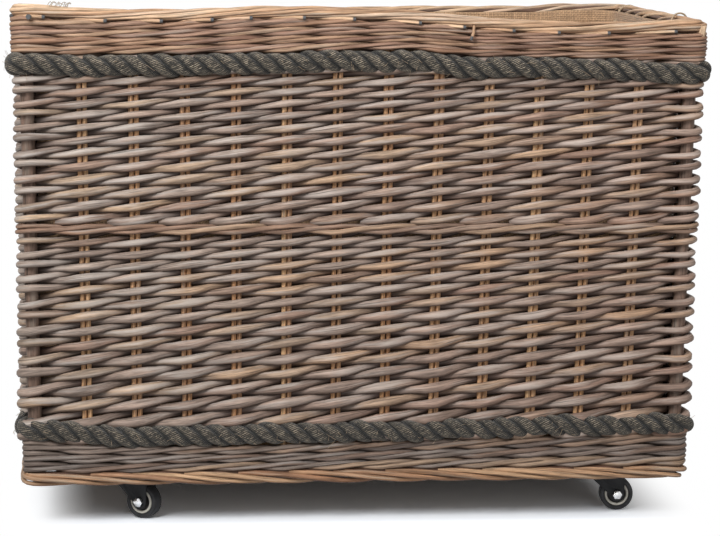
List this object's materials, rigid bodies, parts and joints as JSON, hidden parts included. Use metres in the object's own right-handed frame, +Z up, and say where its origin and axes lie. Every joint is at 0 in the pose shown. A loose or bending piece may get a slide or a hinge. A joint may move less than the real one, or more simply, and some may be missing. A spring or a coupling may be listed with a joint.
{
  "type": "log basket cart",
  "caption": "Rectangular woven willow log basket with two rope bands, cloth lining and swivel castors, walls leaning out to the rim",
  "frame": {"origin": "on the floor under the middle of the basket", "axes": "+X along the basket's length, to the right seen from the front; +Y from the front wall to the back wall; +Z up"},
  "size_m": [0.8102, 0.4602, 0.5947],
  "materials": {
    "weave": "matte peeled and weathered willow",
    "wale": "matte brown willow",
    "border": "matte tan willow",
    "stake": "matte tan willow",
    "rope": "rough three-strand rope",
    "hessian": "open plain weave jute",
    "plywood": "raw plywood",
    "zinc": "zinc plated",
    "fork": "black paint, satin",
    "cream": "moulded, satin",
    "tyre": "matte rubber"
  },
  "bodies": {
    "basket": {"bottom_border": "border", "bottom_wale": "wale", "bottom_rope": "rope", "lower_weave": "weave", "mid_wale": "wale", "upper_weave": "weave", "top_rope": "rope", "top_wale": "wale", "top_border": "border", "stakes_front": "stake", "stakes_right": "stake", "stakes_back": "stake", "stakes_left": "stake", "corner_post_front_left": "stake", "corner_post_front_right": "stake", "corner_post_back_left": "stake", "corner_post_back_right": "stake", "liner": "hessian", "base_board": "plywood", "base_batten_left": "plywood", "base_batten_right": "plywood", "castor_plate_front_left": "zinc", "swivel_race_front_left": "zinc", "kingpin_front_left": "zinc", "castor_plate_front_right": "zinc", "swivel_race_front_right": "zinc", "kingpin_front_right": "zinc", "castor_plate_back_left": "zinc", "swivel_race_back_left": "zinc", "kingpin_back_left": "zinc", "castor_plate_back_right": "zinc", "swivel_race_back_right": "zinc", "kingpin_back_right": "zinc"},
    "fork_front_left": {"fork_front_left": "fork", "axle_bolt_front_left": "zinc", "axle_nut_front_left": "zinc"},
    "wheel_front_left": {"wheel_core_front_left": "cream", "tyre_front_left": "tyre"},
    "fork_front_right": {"fork_front_right": "fork", "axle_bolt_front_right": "zinc", "axle_nut_front_right": "zinc"},
    "wheel_front_right": {"wheel_core_front_right": "cream", "tyre_front_right": "tyre"},
    "fork_back_left": {"fork_back_left": "fork", "axle_bolt_back_left": "zinc", "axle_nut_back_left": "zinc"},
    "wheel_back_left": {"wheel_core_back_left": "cream", "tyre_back_left": "tyre"},
    "fork_back_right": {"fork_back_right": "fork", "axle_bolt_back_right": "zinc", "axle_nut_back_right": "zinc"},
    "wheel_back_right": {"wheel_core_back_right": "cream", "tyre_back_right": "tyre"}
  },
  "joints": [
    {"name": "swivel_front_left", "type": "hinge", "parent": "basket", "child": "fork_front_left", "pos_m": [-0.2625, -0.1425, 0.046], "axis": [0, 0, 1], "continuous": true},
    {"name": "roll_front_left", "type": "hinge", "parent": "fork_front_left", "child": "wheel_front_left", "pos_m": [-0.2474, -0.1523, 0.02], "axis": [0.5446, 0.8387, 0], "continuous": true},
    {"name": "swivel_front_right", "type": "hinge", "parent": "basket", "child": "fork_front_right", "pos_m": [0.2985, -0.1425, 0.046], "axis": [0, 0, 1], "continuous": true},
    {"name": "roll_front_right", "type": "hinge", "parent": "fork_front_right", "child": "wheel_front_right", "pos_m": [0.31646, -0.14376, 0.02], "axis": [0.0698, 0.9976, 0], "continuous": true},
    {"name": "swivel_back_left", "type": "hinge", "parent": "basket", "child": "fork_back_left", "pos_m": [-0.2625, 0.1425, 0.046], "axis": [0, 0, 1], "continuous": true},
    {"name": "roll_back_left", "type": "hinge", "parent": "fork_back_left", "child": "wheel_back_left", "pos_m": [-0.24606, 0.13518, 0.02], "axis": [0.4067, 0.9135, 0], "continuous": true},
    {"name": "swivel_back_right", "type": "hinge", "parent": "basket", "child": "fork_back_right", "pos_m": [0.2985, 0.1425, 0.046], "axis": [0, 0, 1], "continuous": true},
    {"name": "roll_back_right", "type": "hinge", "parent": "fork_back_right", "child": "wheel_back_right", "pos_m": [0.31611, 0.14624, 0.02], "axis": [-0.2079, 0.9781, 0], "continuous": true}
  ]
}
